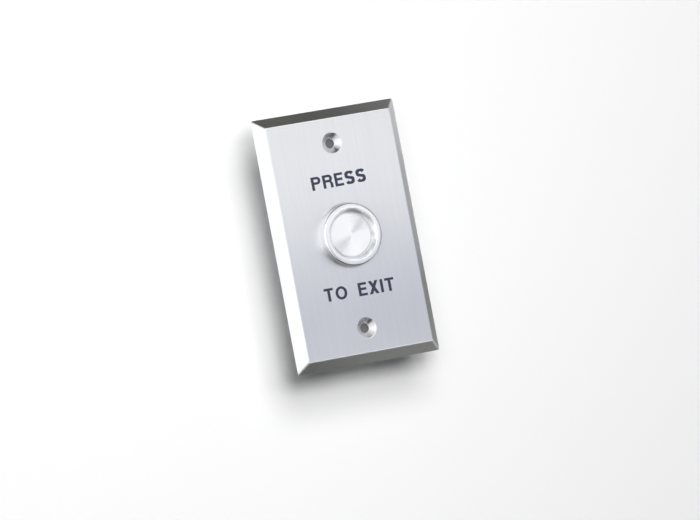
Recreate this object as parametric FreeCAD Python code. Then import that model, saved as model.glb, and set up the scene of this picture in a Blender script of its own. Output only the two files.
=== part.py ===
import FreeCAD, Part
import math
import os

# Door exit button: a sprung stainless push-button in a formed single-gang wall plate.
# Millimetres. X runs across the plate, Z up, and +Y into the wall. The origin lies on the button's
# axis, in the plane where the plate's rim meets the wall.

os.makedirs("parts", exist_ok=True)
Vec = FreeCAD.Vector

# Wall plate, a formed sheet with a bevelled border
plate_width = 69.85
plate_height = 114.3
plate_depth = 4.5
bevel_width = 4.4
sheet = 1.2
bend_outside_r = 1.0
bend_inside_r = 0.4
mitre_outside_r = 1.5
mitre_inside_r = 0.6

# Screw holes, pressed back into the sheet as cones
screw_spacing = 83.3
screw_hole_r = 2.2
dimple_mouth_r = 4.7
dimple_cone_depth = 2.3
dimple_land = 0.5
dimple_wall = 1.0
dimple_edge_r = 0.5

# Button cap, its seal and its stem
cap_guide_length = 3.3
cap_edge_chamfer = 0.2
cap_face_thickness = 2.0
cap_wall = 1.15
cap_flange_thickness = 1.5
cap_flange_gap = 0.4
stem_r = 3.0
press_travel = 2.0
seal_section_r = 0.6
seal_groove_width = 1.4
seal_lip = 1.0

# Bezel and barrel, one turned piece
head_height = 4.5
cap_recess = 2.7
cone_width = 1.8
rim_band = 2.4
rim_outside_r = 0.85
rim_inside_r = 0.35
shoulder_width = 1.23
barrel_wall = 1.4
barrel_end_chamfer = 0.5
gasket_width = 0.9
gasket_thickness = 0.8

# Fastening behind the plate
panel_hole_gap = 0.15
washer_thickness = 0.8
washer_band = 1.7
washer_teeth = 12
washer_tooth_length = 1.75
washer_tooth_width = 2.2
nut_wall = 2.6
nut_thickness = 4.0
nut_chamfer_deg = 30.0
nut_bore_chamfer = 0.4

# Guide bush and its retaining ring
bush_gap = 4.5
bush_length = 4.0
boss_height = 1.0
boss_gap = 0.3
stem_seal_section_r = 0.6
stem_seal_groove_width = 1.4
ring_thickness = 1.0
ring_width = 1.5
ring_groove_depth = 0.55
ring_groove_side_gap = 0.05
ring_opening_deg = 50.0
ring_lug_r = 1.3
ring_lug_hole_r = 0.6

# Return spring, with ground ends
spring_stem_gap = 2.0
spring_wire_r = 0.5
spring_turns = 4.5

# Plunger and its screw
plunger_gap = 0.5
plunger_socket_depth = 0.8
plunger_front_web = 1.7
plunger_rear_web = 1.6
plunger_hub_wall = 1.4
plunger_spring_margin = 0.1
plunger_side_wall = 1.4
plunger_corner_r = 0.8
plunger_end_gap = 0.4
plunger_screw_r = 1.25
plunger_screw_length = 5.0
plunger_screw_head_r = 2.1
plunger_screw_head = 1.4

# Moving contact
contact_spring_length = 4.2
contact_spring_head_gap = 0.4
contact_spring_wire_r = 0.2
contact_spring_turns = 4.5
bridge_thickness = 0.8
bridge_half_width = 3.0
bridge_tip_margin = 0.45
bridge_side_gap = 0.2
tip_r = 1.2
tip_shank_r = 0.7
tip_proud = 0.3
tip_upset_r = 1.0
tip_upset = 0.2
contact_air = 0.05

# Fixed contacts, bent from strip
strip_thickness = 0.6
strip_width = 3.0
strip_plunger_gap = 0.5
strip_bridge_gap = 1.3
strip_wall_gap = 1.36
strip_pad_reach = 1.5
strip_bend_r = 0.4
terminal_pad_r = 3.0
terminal_edge = 0.1

# Contact case and terminal base
case_gap = 0.95
case_spigot_length = 3.0
case_step = 0.7
case_wall = 2.2
case_front_wall = 1.5
case_opening_gap = 0.8
base_spigot_length = 2.75
base_flange_thickness = 3.5
slot_gap = 0.05
snap_width = 5.0
snap_length = 1.0
snap_height = 1.1
snap_gap = 0.1
snap_setback = 0.8
rib_thickness = 1.0
rib_height = 3.0
rib_end_gap = 0.6

# Terminal screws and clamp washers
terminal_screw_r = 1.45
terminal_screw_depth = 3.0
terminal_head_r = 2.6
terminal_head = 1.6
clamp_r = 2.8
clamp_thickness = 0.6

# Driver slots and clearances shared by several pieces
driver_slot_width = 0.6
driver_slot_depth = 0.8
sliding_gap = 0.05
seat_gap = 0.05
ring_gap = 0.1
thread_gap = 0.05

# Places along the button's axis, from the front to the back
plate_front = -plate_depth
plate_back = plate_front + sheet
rim_y = plate_front - head_height
cap_face = rim_y + cap_recess
shoulder = cap_face + cap_guide_length
cap_rear = shoulder + cap_flange_thickness
spring_seat = cap_face + cap_face_thickness
washer_rear = plate_back + washer_thickness
nut_rear = washer_rear + nut_thickness
bush_front = cap_rear + press_travel + bush_gap
bush_rear = bush_front + bush_length
ring_groove_rear = bush_rear + ring_thickness + ring_groove_side_gap
case_front = ring_groove_rear + case_gap
barrel_end = case_front + case_spigot_length
plunger_front = bush_rear + plunger_gap
stem_end = plunger_front + plunger_socket_depth
window_front = stem_end + plunger_front_web
bridge_front = window_front + contact_spring_length
bridge_rear = bridge_front + bridge_thickness
plunger_rear = bridge_rear + plunger_rear_web
nc_pad_rear = bridge_front - tip_proud - contact_air - tip_proud
no_pad_front = bridge_rear + tip_proud + press_travel + contact_air + tip_proud
base_front = no_pad_front + strip_thickness
case_rear = base_front + base_spigot_length
base_rear = case_rear + base_flange_thickness
clamp_front = base_rear + strip_thickness
head_front = clamp_front + clamp_thickness

# Plunger, bar and fixed strips, each clear of the piece beside it
contact_spring_mean_r = plunger_screw_head_r + contact_spring_head_gap + contact_spring_wire_r
plunger_half_width = contact_spring_mean_r + contact_spring_wire_r + plunger_spring_margin
window_half_height = bridge_half_width + bridge_side_gap
plunger_half_height = window_half_height + plunger_side_wall
plunger_hub_r = stem_r + plunger_hub_wall
contact_x = plunger_half_width + strip_plunger_gap + strip_width / 2
bridge_end_r = tip_r + bridge_tip_margin
strip_tail_in = bridge_half_width + strip_bridge_gap
strip_tail_out = strip_tail_in + strip_thickness

# Radii from the contacts outwards: case, barrel, cap and bezel
cavity_r = math.hypot(contact_x + strip_width / 2, strip_tail_out) + strip_wall_gap
case_r = cavity_r + case_wall
terminal_z = math.sqrt((case_r - terminal_edge - terminal_pad_r) ** 2 - contact_x ** 2)
case_opening_r = math.hypot(plunger_half_width, plunger_half_height) + case_opening_gap
barrel_r = case_r + case_step
barrel_bore_r = barrel_r - barrel_wall
ring_groove_r = barrel_bore_r + ring_groove_depth
gasket_recess_r = barrel_r + gasket_width
panel_hole_r = barrel_r + panel_hole_gap
washer_root_r = panel_hole_r + washer_tooth_length
washer_r = washer_root_r + washer_band
nut_flats = 2 * (barrel_r + nut_wall)
cap_flange_r = barrel_bore_r - cap_flange_gap
cap_bore_r = barrel_bore_r - shoulder_width
cap_r = cap_bore_r - sliding_gap
rim_inner_r = cap_bore_r + cone_width
head_r = rim_inner_r + rim_band
seal_major_r = cap_r - seal_section_r
seal_groove_r = seal_major_r - seal_section_r - seat_gap
cap_recess_r = seal_groove_r - cap_wall
spring_mean_r = stem_r + spring_stem_gap + spring_wire_r


def revolve(points):
    """Solid turned about the button's axis from a closed outline of (radius, y) points."""
    corners = [Vec(r, y, 0) for r, y in points]
    face = Part.Face(Part.makePolygon(corners + corners[:1]))
    return face.revolve(Vec(0, 0, 0), Vec(0, 1, 0), 360)


def tube(inner_r, outer_r, front, rear):
    """Plain ring about the button's axis."""
    return revolve([(inner_r, front), (outer_r, front), (outer_r, rear), (inner_r, rear)])


def rod(radius, front, rear, x=0.0, z=0.0):
    """Round bar along Y at the given place."""
    return Part.makeCylinder(radius, rear - front, Vec(x, front, z), Vec(0, 1, 0))


def block(x_half, front, rear, z_low, z_high, x=0.0):
    """Rectangular block, centred on x across its width."""
    return Part.makeBox(2 * x_half, rear - front, z_high - z_low, Vec(x - x_half, front, z_low))


def edges_on_circle(shape, radius, y):
    """Round edges of the given radius about the button's axis, in the plane y."""
    found = []
    for edge in shape.Edges:
        curve = edge.Curve
        if not isinstance(curve, Part.Circle):
            continue
        on_axis = math.hypot(curve.Center.x, curve.Center.z) < 1e-6
        if on_axis and abs(curve.Radius - radius) < 1e-6 and abs(curve.Center.y - y) < 1e-6:
            found.append(edge)
    return found


def torus(major_r, section_r, y):
    """Seal ring about the button's axis."""
    return Part.makeTorus(major_r, section_r, Vec(0, y, 0), Vec(0, 1, 0))


def frustum(width, height, inset, rear, front, mitre_r, bend_r):
    """Block with four sloping sides, rounded along its mitres and round its front face."""
    x = width / 2
    z = height / 2
    solid = Part.makeWedge(
        inset - x, front, inset - z, -z, -x,
        x - inset, rear, z - inset, z, x)
    mitres = [e for e in solid.Edges if abs(e.Vertexes[0].Point.y - e.Vertexes[1].Point.y) > 1e-6]
    solid = solid.makeFillet(mitre_r, mitres)
    rim = [e for e in solid.Edges if all(abs(v.Point.y - front) < 1e-6 for v in e.Vertexes)]
    return solid.makeFillet(bend_r, rim)


def is_dimple_mouth(edge):
    """True for the round edge where a screw hole's cone meets the plate's front."""
    curve = edge.Curve
    if not isinstance(curve, Part.Circle):
        return False
    return abs(curve.Radius - dimple_mouth_r) < 1e-6 and abs(curve.Center.y - plate_front) < 1e-6


def make_faceplate():
    """Formed sheet: the flat front, the bevelled border and the two pressed screw holes."""
    slope = math.atan2(plate_depth, bevel_width)
    outside = frustum(
        plate_width, plate_height, bevel_width, 0.0, plate_front, mitre_outside_r, bend_outside_r)
    wall_across = sheet / math.sin(slope)
    inside_depth = plate_depth - sheet
    inside = frustum(
        plate_width - 2 * wall_across,
        plate_height - 2 * wall_across,
        inside_depth / math.tan(slope),
        0.0,
        plate_back,
        mitre_inside_r,
        bend_inside_r)
    plate = outside.cut(inside)
    for side in (-1, 1):
        place = Vec(0, 0, side * screw_spacing / 2)
        plate = plate.fuse(dimple_body().translated(place))
        plate = plate.cut(dimple_hollow().translated(place))
    plate = plate.cut(rod(panel_hole_r, plate_front - sheet, plate_back + sheet))
    plate = plate.removeSplitter()
    mouths = [e for e in plate.Edges if is_dimple_mouth(e)]
    return plate.makeFillet(dimple_edge_r, mouths)


def dimple_hollow():
    """The countersunk cone and the screw's hole through its end."""
    hole_front = plate_front + dimple_cone_depth
    return revolve([
        (0, plate_front - sheet),
        (dimple_mouth_r, plate_front - sheet),
        (dimple_mouth_r, plate_front),
        (screw_hole_r, hole_front),
        (screw_hole_r, hole_front + dimple_land + sheet),
        (0, hole_front + dimple_land + sheet)])


def dimple_body():
    """The sheet pressed back round the cone, one wall thicker than the hollow all along."""
    run = dimple_mouth_r - screw_hole_r
    length = math.hypot(run, dimple_cone_depth)
    across = dimple_wall * length / dimple_cone_depth
    middle = sheet / 2
    end = dimple_cone_depth + dimple_land

    def radius_at(depth):
        return dimple_mouth_r + across - run * depth / dimple_cone_depth

    return revolve([
        (0, plate_front + middle),
        (radius_at(middle), plate_front + middle),
        (radius_at(end), plate_front + end),
        (0, plate_front + end)])


def make_button_housing():
    """Raised bezel with its inner cone, and the barrel behind it with bore, shoulder and ring groove."""
    gasket_front = plate_front - gasket_thickness
    solid = revolve([
        (cap_bore_r, cap_face),
        (rim_inner_r, rim_y),
        (head_r, rim_y),
        (head_r, plate_front),
        (gasket_recess_r, plate_front),
        (gasket_recess_r, gasket_front),
        (barrel_r, gasket_front),
        (barrel_r, barrel_end),
        (barrel_bore_r, barrel_end),
        (barrel_bore_r, ring_groove_rear),
        (ring_groove_r, ring_groove_rear),
        (ring_groove_r, bush_rear),
        (barrel_bore_r, bush_rear),
        (barrel_bore_r, shoulder),
        (cap_bore_r, shoulder)])
    solid = solid.makeFillet(rim_outside_r, edges_on_circle(solid, head_r, rim_y))
    solid = solid.makeFillet(rim_inside_r, edges_on_circle(solid, rim_inner_r, rim_y))
    return solid.makeChamfer(barrel_end_chamfer, edges_on_circle(solid, barrel_r, barrel_end))


def make_panel_gasket():
    """Flat seal that fills the recess under the bezel."""
    return tube(
        barrel_r + seat_gap,
        gasket_recess_r - seat_gap,
        plate_front - gasket_thickness,
        plate_front)


def make_lock_washer():
    """Internal-tooth washer."""
    solid = tube(washer_root_r, washer_r, plate_back, washer_rear)
    tooth_middle_r = (washer_root_r + washer_r) / 2
    bore = rod(panel_hole_r, plate_back, washer_rear)
    tooth = Part.makeBox(
        tooth_middle_r,
        washer_thickness,
        washer_tooth_width,
        Vec(0, plate_back, -washer_tooth_width / 2)).cut(bore)
    for index in range(washer_teeth):
        turned = tooth.copy()
        turned.rotate(Vec(0, 0, 0), Vec(0, 1, 0), 360 * index / washer_teeth)
        solid = solid.fuse(turned)
    return solid.removeSplitter()


def make_lock_nut():
    """Hexagon nut, its corners turned off to a cone at both faces."""
    corner_r = nut_flats / 2 / math.cos(math.pi / 6)
    corners = []
    for index in range(6):
        angle = math.pi / 6 + index * math.pi / 3
        corners.append(Vec(corner_r * math.cos(angle), washer_rear, corner_r * math.sin(angle)))
    hexagon = Part.Face(Part.makePolygon(corners + corners[:1]))
    solid = hexagon.extrude(Vec(0, nut_thickness, 0))
    face_r = nut_flats / 2
    drop = (corner_r - face_r) * math.tan(math.radians(nut_chamfer_deg))
    turned = revolve([
        (0, washer_rear),
        (face_r, washer_rear),
        (corner_r, washer_rear + drop),
        (corner_r, nut_rear - drop),
        (face_r, nut_rear),
        (0, nut_rear)])
    bore_r = barrel_r + thread_gap
    solid = solid.common(turned).cut(rod(bore_r, washer_rear, nut_rear))
    mouths = edges_on_circle(solid, bore_r, washer_rear) + edges_on_circle(solid, bore_r, nut_rear)
    return solid.makeChamfer(nut_bore_chamfer, mouths)


def make_button_cap():
    """Pressed face, its guide with the seal groove, the stop flange behind and the stem."""
    tap_r = plunger_screw_r + thread_gap
    tap_end = window_front - plunger_screw_length - seat_gap
    solid = revolve([
        (0, cap_face),
        (cap_r, cap_face),
        (cap_r, cap_face + seal_lip),
        (seal_groove_r, cap_face + seal_lip),
        (seal_groove_r, cap_face + seal_lip + seal_groove_width),
        (cap_r, cap_face + seal_lip + seal_groove_width),
        (cap_r, shoulder),
        (cap_flange_r, shoulder),
        (cap_flange_r, cap_rear),
        (cap_recess_r, cap_rear),
        (cap_recess_r, spring_seat),
        (stem_r, spring_seat),
        (stem_r, stem_end),
        (tap_r, stem_end),
        (tap_r, tap_end),
        (0, tap_end)])
    return solid.makeChamfer(cap_edge_chamfer, edges_on_circle(solid, cap_r, cap_face))


def make_cap_seal_ring():
    return torus(seal_major_r, seal_section_r, cap_face + seal_lip + seal_groove_width / 2)


def spring(mean_r, wire_r, turns, front, rear):
    """Coil spring between two seats, its ends ground flat on them."""
    length = rear - front
    pitch = (length + wire_r) / turns
    helix = Part.makeHelix(pitch, pitch * turns, mean_r)
    start = Part.Circle(Vec(mean_r, 0, 0), Vec(0, mean_r, pitch / (2 * math.pi)), wire_r)
    pipe = Part.BRepOffsetAPI.MakePipeShell(Part.Wire(helix.Edges))
    pipe.setFrenetMode(True)
    pipe.add(Part.Wire(start.toShape()))
    pipe.build()
    pipe.makeSolid()
    coil = pipe.shape()
    coil.translate(Vec(0, 0, -wire_r / 2))
    ground = Part.makeCylinder(mean_r + 2 * wire_r, length)
    coil = coil.common(ground)
    coil.rotate(Vec(0, 0, 0), Vec(1, 0, 0), -90)
    coil.translate(Vec(0, front, 0))
    return coil


def make_return_spring():
    return spring(spring_mean_r, spring_wire_r, spring_turns, spring_seat, bush_front)


def stem_seal_place():
    """Front and rear of the groove in the bush, centred along its length."""
    middle = (bush_front + bush_rear) / 2
    return middle - stem_seal_groove_width / 2, middle + stem_seal_groove_width / 2


def make_guide_bush():
    """Turned bush with a boss inside the return spring and a groove for the stem's seal."""
    bore_r = stem_r + sliding_gap
    groove_r = bore_r + 2 * stem_seal_section_r + seat_gap
    groove_front, groove_rear = stem_seal_place()
    boss_r = spring_mean_r - spring_wire_r - boss_gap
    bush_r = barrel_bore_r - seat_gap
    return revolve([
        (bore_r, bush_front - boss_height),
        (boss_r, bush_front - boss_height),
        (boss_r, bush_front),
        (bush_r, bush_front),
        (bush_r, bush_rear),
        (bore_r, bush_rear),
        (bore_r, groove_rear),
        (groove_r, groove_rear),
        (groove_r, groove_front),
        (bore_r, groove_front)])


def make_stem_seal_ring():
    major_r = stem_r + sliding_gap + stem_seal_section_r
    return torus(major_r, stem_seal_section_r, sum(stem_seal_place()) / 2)


def make_bush_retaining_ring():
    """Internal spring ring: an open band with a holed lug at each end."""
    outer_r = ring_groove_r - ring_gap
    band = tube(outer_r - ring_width, outer_r, bush_rear, bush_rear + ring_thickness)
    half_opening = math.radians(ring_opening_deg / 2)
    reach = 2 * outer_r
    wedge_corners = [
        Vec(0, bush_rear, 0),
        Vec(reach * math.sin(half_opening), bush_rear, -reach * math.cos(half_opening)),
        Vec(-reach * math.sin(half_opening), bush_rear, -reach * math.cos(half_opening))]
    wedge = Part.Face(Part.makePolygon(wedge_corners + wedge_corners[:1]))
    band = band.cut(wedge.extrude(Vec(0, ring_thickness, 0)))
    lug_place_r = outer_r - ring_width / 2 - ring_lug_r / 2
    lug_angle = half_opening + ring_lug_r / lug_place_r
    for side in (-1, 1):
        x = side * lug_place_r * math.sin(lug_angle)
        z = -lug_place_r * math.cos(lug_angle)
        band = band.fuse(rod(ring_lug_r, bush_rear, bush_rear + ring_thickness, x, z))
        band = band.cut(rod(ring_lug_hole_r, bush_rear, bush_rear + ring_thickness, x, z))
    return band.removeSplitter()


def make_plunger():
    """Moulded carrier: a round hub with a socket for the stem, and a frame open to both sides."""
    frame = block(
        plunger_half_width, stem_end, plunger_rear, -plunger_half_height, plunger_half_height)
    corners = [e for e in frame.Edges if abs(e.Vertexes[0].Point.y - e.Vertexes[1].Point.y) > 1e-6]
    frame = frame.makeFillet(plunger_corner_r, corners)
    frame = frame.cut(block(
        2 * plunger_half_width,
        window_front,
        bridge_rear,
        -window_half_height,
        window_half_height))
    body = frame.fuse(rod(plunger_hub_r, plunger_front, window_front))
    body = body.cut(rod(stem_r + seat_gap, plunger_front, stem_end))
    body = body.cut(rod(plunger_screw_r + thread_gap, stem_end, window_front))
    return body.removeSplitter()


def make_plunger_screw():
    tip = window_front - plunger_screw_length
    head_end = window_front + plunger_screw_head
    shank = rod(plunger_screw_r, tip, window_front)
    head = rod(plunger_screw_head_r, window_front, head_end)
    slot = block(
        plunger_screw_head_r,
        head_end - driver_slot_depth,
        head_end,
        -driver_slot_width / 2,
        driver_slot_width / 2)
    return shank.fuse(head).cut(slot).removeSplitter()


def make_bridge_contact():
    """Flat bar, wide under its spring and narrow with round ends at its tips."""
    bar = block(contact_x, bridge_front, bridge_rear, -bridge_end_r, bridge_end_r)
    bar = bar.fuse(rod(bridge_half_width, bridge_front, bridge_rear))
    for x in (-contact_x, contact_x):
        bar = bar.fuse(rod(bridge_end_r, bridge_front, bridge_rear, x))
        bar = bar.cut(rod(tip_shank_r, bridge_front, bridge_rear, x))
    return bar.removeSplitter()


def make_bridge_contact_tips():
    """Rivets through the bar, a contact face at either side."""
    tips = []
    for x in (-contact_x, contact_x):
        shank = rod(tip_shank_r, bridge_front - tip_proud, bridge_rear + tip_proud, x)
        front = rod(tip_r, bridge_front - tip_proud, bridge_front, x)
        rear = rod(tip_r, bridge_rear, bridge_rear + tip_proud, x)
        tips.append(shank.fuse([front, rear]).removeSplitter())
    return tips


def make_contact_spring():
    return spring(
        contact_spring_mean_r,
        contact_spring_wire_r,
        contact_spring_turns,
        window_front,
        bridge_front)


def bent_strip(x, pad_front, side):
    """Fixed contact: an inward pad, a tail through the base and an outward screw pad behind it.

    side is 1 for a tail above the axis and -1 for one below it.
    """
    outline = [
        (-strip_pad_reach, pad_front),
        (strip_tail_out, pad_front),
        (strip_tail_out, base_rear),
        (terminal_z, base_rear),
        (terminal_z, clamp_front),
        (strip_tail_in, clamp_front),
        (strip_tail_in, pad_front + strip_thickness),
        (-strip_pad_reach, pad_front + strip_thickness)]
    corners = [Vec(x - strip_width / 2, y, side * z) for z, y in outline]
    face = Part.Face(Part.makePolygon(corners + corners[:1]))
    strip = face.extrude(Vec(strip_width, 0, 0))
    bends = []
    for edge in strip.Edges:
        place = edge.CenterOfMass
        in_front = abs(place.z - side * strip_tail_out) < 1e-6 and abs(place.y - pad_front) < 1e-6
        behind = abs(place.z - side * strip_tail_in) < 1e-6 and abs(place.y - clamp_front) < 1e-6
        if in_front or behind:
            bends.append(edge)
    strip = strip.makeFillet(strip_bend_r, bends)
    pad = rod(terminal_pad_r, base_rear, clamp_front, x, side * terminal_z)
    strip = strip.fuse(pad)
    strip = strip.cut(rod(
        terminal_screw_r + sliding_gap, base_rear, clamp_front, x, side * terminal_z))
    strip = strip.cut(rod(tip_shank_r, pad_front, pad_front + strip_thickness, x))
    return strip.removeSplitter()


def make_fixed_contact_tips():
    """Rivets in the fixed pads: the contact face towards the bar, the upset end behind the pad."""
    tips = []
    nc_front = nc_pad_rear - strip_thickness
    for x in (-contact_x, contact_x):
        tips.append([
            rod(tip_upset_r, nc_front - tip_upset, nc_front, x),
            rod(tip_shank_r, nc_front, nc_pad_rear, x),
            rod(tip_r, nc_pad_rear, nc_pad_rear + tip_proud, x)])
        tips.append([
            rod(tip_r, no_pad_front - tip_proud, no_pad_front, x),
            rod(tip_shank_r, no_pad_front, base_front, x),
            rod(tip_upset_r, base_front, base_front + tip_upset, x)])
    return [head.fuse([shank, upset]).removeSplitter() for head, shank, upset in tips]


def make_contact_case():
    """Moulded case: a spigot in the barrel, a front wall round the plunger and two snap windows."""
    spigot_r = barrel_bore_r - seat_gap
    cavity_front = case_front + case_front_wall
    solid = revolve([
        (case_opening_r, case_front),
        (spigot_r, case_front),
        (spigot_r, barrel_end),
        (case_r, barrel_end),
        (case_r, case_rear),
        (cavity_r, case_rear),
        (cavity_r, cavity_front),
        (case_opening_r, cavity_front)])
    snap_front = case_rear - snap_setback - snap_length
    window_half = snap_width / 2 + snap_gap
    windows = block(
        2 * case_r,
        snap_front - snap_gap,
        case_rear - snap_setback + snap_gap,
        -window_half,
        window_half)
    return solid.cut(windows)


def terminal_places():
    """Centres of the four terminals, as (x, z)."""
    return [(sx * contact_x, sz * terminal_z) for sz in (1, -1) for sx in (-1, 1)]


def make_terminal_base():
    """Moulded base: spigot with two snaps, flange, strip slots, screw holes and crossed barrier ribs."""
    spigot_r = cavity_r - sliding_gap
    solid = rod(spigot_r, base_front, case_rear).fuse(rod(case_r, case_rear, base_rear))
    snap_front = case_rear - snap_setback - snap_length
    snap_ring = rod(spigot_r + snap_height, snap_front, case_rear - snap_setback)
    snaps = block(
        2 * case_r, snap_front, case_rear - snap_setback, -snap_width / 2, snap_width / 2)
    solid = solid.fuse(snap_ring.common(snaps))
    rib_reach = case_r - rib_end_gap
    rib_rear = base_rear + rib_height
    solid = solid.fuse(block(rib_thickness / 2, base_rear, rib_rear, -rib_reach, rib_reach))
    solid = solid.fuse(block(rib_reach, base_rear, rib_rear, -rib_thickness / 2, rib_thickness / 2))
    pocket_floor = plunger_rear + press_travel + plunger_end_gap
    solid = solid.cut(block(
        plunger_half_width + plunger_end_gap,
        no_pad_front,
        pocket_floor,
        -plunger_half_height - plunger_end_gap,
        plunger_half_height + plunger_end_gap))
    slot_half = strip_thickness / 2 + slot_gap
    tail_middle = (strip_tail_in + strip_tail_out) / 2
    for x, z in terminal_places():
        tail = math.copysign(tail_middle, z)
        solid = solid.cut(block(
            strip_width / 2 + slot_gap, base_front, base_rear, tail - slot_half, tail + slot_half, x))
        hole_end = base_rear - terminal_screw_depth - sliding_gap
        solid = solid.cut(rod(terminal_screw_r + thread_gap, hole_end, base_rear, x, z))
        solid = solid.cut(rod(tip_r, base_front, base_front + tip_upset + slot_gap, x))
    return solid.removeSplitter()


def make_clamp_washers():
    washers = []
    for x, z in terminal_places():
        washer = rod(clamp_r, clamp_front, head_front, x, z)
        washers.append(washer.cut(rod(terminal_screw_r + sliding_gap, clamp_front, head_front, x, z)))
    return washers


def make_terminal_screws():
    """Cheese-head screws with a driver slot."""
    screws = []
    head_rear = head_front + terminal_head
    for x, z in terminal_places():
        shank = rod(terminal_screw_r, base_rear - terminal_screw_depth, head_front, x, z)
        head = rod(terminal_head_r, head_front, head_rear, x, z)
        slot = block(
            terminal_head_r,
            head_rear - driver_slot_depth,
            head_rear,
            z - driver_slot_width / 2,
            z + driver_slot_width / 2,
            x)
        screws.append(shank.fuse(head).cut(slot).removeSplitter())
    return screws


def write(name, shape):
    """Write one sub-part, checking that each of its solids is whole."""
    solids = shape if isinstance(shape, list) else shape.Solids
    for solid in solids:
        if not solid.isValid() or solid.Volume <= 0:
            raise ValueError(name + " has a solid that is not valid")
    body = solids[0] if len(solids) == 1 else Part.makeCompound(solids)
    body.exportStep("parts/" + name + ".step")


pieces = {
    "faceplate": make_faceplate(),
    "button_housing": make_button_housing(),
    "panel_gasket": make_panel_gasket(),
    "lock_washer": make_lock_washer(),
    "lock_nut": make_lock_nut(),
    "button_cap": make_button_cap(),
    "cap_seal_ring": make_cap_seal_ring(),
    "return_spring": make_return_spring(),
    "guide_bush": make_guide_bush(),
    "stem_seal_ring": make_stem_seal_ring(),
    "bush_retaining_ring": make_bush_retaining_ring(),
    "plunger": make_plunger(),
    "plunger_screw": make_plunger_screw(),
    "bridge_contact": make_bridge_contact(),
    "bridge_contact_tips": make_bridge_contact_tips(),
    "contact_spring": make_contact_spring(),
    "contact_case": make_contact_case(),
    "terminal_base": make_terminal_base(),
    "nc_contact_left": bent_strip(-contact_x, nc_pad_rear - strip_thickness, 1),
    "nc_contact_right": bent_strip(contact_x, nc_pad_rear - strip_thickness, 1),
    "no_contact_left": bent_strip(-contact_x, no_pad_front, -1),
    "no_contact_right": bent_strip(contact_x, no_pad_front, -1),
    "fixed_contact_tips": make_fixed_contact_tips(),
    "clamp_washers": make_clamp_washers(),
    "terminal_screws": make_terminal_screws(),
}

for name, shape in pieces.items():
    write(name, shape)
print(len(pieces), "sub-parts written")
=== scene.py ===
import math

import bmesh
import bpy
from mathutils import Matrix, Vector


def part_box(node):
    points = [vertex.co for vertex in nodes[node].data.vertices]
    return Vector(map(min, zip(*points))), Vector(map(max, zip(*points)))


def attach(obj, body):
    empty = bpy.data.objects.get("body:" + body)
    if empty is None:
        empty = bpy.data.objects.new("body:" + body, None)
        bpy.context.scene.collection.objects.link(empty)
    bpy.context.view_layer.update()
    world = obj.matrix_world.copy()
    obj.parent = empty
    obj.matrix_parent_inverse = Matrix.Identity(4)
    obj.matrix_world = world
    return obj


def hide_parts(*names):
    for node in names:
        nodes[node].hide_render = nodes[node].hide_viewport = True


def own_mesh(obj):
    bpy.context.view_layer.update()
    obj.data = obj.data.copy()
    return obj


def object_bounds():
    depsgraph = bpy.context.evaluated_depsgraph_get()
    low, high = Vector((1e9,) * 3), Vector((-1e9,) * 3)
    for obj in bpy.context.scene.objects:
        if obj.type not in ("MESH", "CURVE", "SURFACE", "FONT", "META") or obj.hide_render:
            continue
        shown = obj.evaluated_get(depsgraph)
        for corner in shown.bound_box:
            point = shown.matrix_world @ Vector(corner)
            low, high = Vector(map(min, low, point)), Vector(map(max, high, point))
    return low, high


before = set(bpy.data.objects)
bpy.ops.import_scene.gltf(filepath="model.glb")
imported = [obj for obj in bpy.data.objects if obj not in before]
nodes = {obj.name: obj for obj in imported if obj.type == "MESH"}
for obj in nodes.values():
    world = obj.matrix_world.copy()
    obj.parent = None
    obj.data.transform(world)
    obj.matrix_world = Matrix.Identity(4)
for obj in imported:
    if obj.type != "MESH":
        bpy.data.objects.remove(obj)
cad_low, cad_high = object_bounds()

# Wall plate
# One formed sheet of stainless steel with a bevelled border, brushed from top to bottom. It carries
# the button, and two countersunk screws, which the photo doesn't show, hold it to the wall box.
mm = 0.001
plate_low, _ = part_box("faceplate")
_, bezel_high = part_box("button_housing")
screw_hole_height = 41.65 * mm
dimple_wall_radius = 3.4 * mm
dimple_wall_reach = 1.5 * mm
# The upper side of each screw dimple's wall, which gets painted shade.
dimple_shaded_side = (-0.24, 0.97, 0)
# The bezel's side towards the key light, which gets no painted shade.
bezel_lit_side = (-0.98, 0.17, 0)


def put(tree, kind, inputs=None, **options):
    """Add one node: set its options, then give each input its value or its link."""
    made = tree.nodes.new(kind)
    for key, value in options.items():
        setattr(made, key, value)
    for key, value in (inputs or {}).items():
        if isinstance(value, bpy.types.NodeSocket):
            tree.links.new(value, made.inputs[key])
        else:
            made.inputs[key].default_value = value
    return made


def shader_effect(name, inputs, outputs):
    """An empty shader group with named sockets; returns it with its input and output nodes."""
    group = bpy.data.node_groups.new(name, "ShaderNodeTree")
    for label, kind in inputs:
        group.interface.new_socket(label, in_out="INPUT", socket_type="NodeSocket" + kind)
    for label, kind in outputs:
        group.interface.new_socket(label, in_out="OUTPUT", socket_type="NodeSocket" + kind)
    return group, put(group, "NodeGroupInput"), put(group, "NodeGroupOutput")


def make_drawn_lines():
    """Fine scratches that all run one way, over broader and fainter streaks."""
    group, given, result = shader_effect(
        "drawn_lines",
        [("Place", "Vector"), ("Fine", "Vector"), ("Broad", "Vector")],
        [("Tone", "Float"), ("Height", "Float")])
    tones = []
    for label, detail in (("Fine", 3.0), ("Broad", 2.0)):
        place = put(
            group, "ShaderNodeVectorMath",
            {0: given.outputs["Place"], 1: given.outputs[label]}, operation="MULTIPLY")
        noise = put(
            group, "ShaderNodeTexNoise",
            {"Vector": place.outputs[0], "Scale": 1.0, "Detail": detail, "Roughness": 0.6})
        tones.append(noise.outputs["Fac"])
    mixed = put(group, "ShaderNodeMix", {"Factor": 0.4, 2: tones[0], 3: tones[1]})
    group.links.new(mixed.outputs[0], result.inputs["Tone"])
    group.links.new(tones[0], result.inputs["Height"])
    return group


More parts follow.
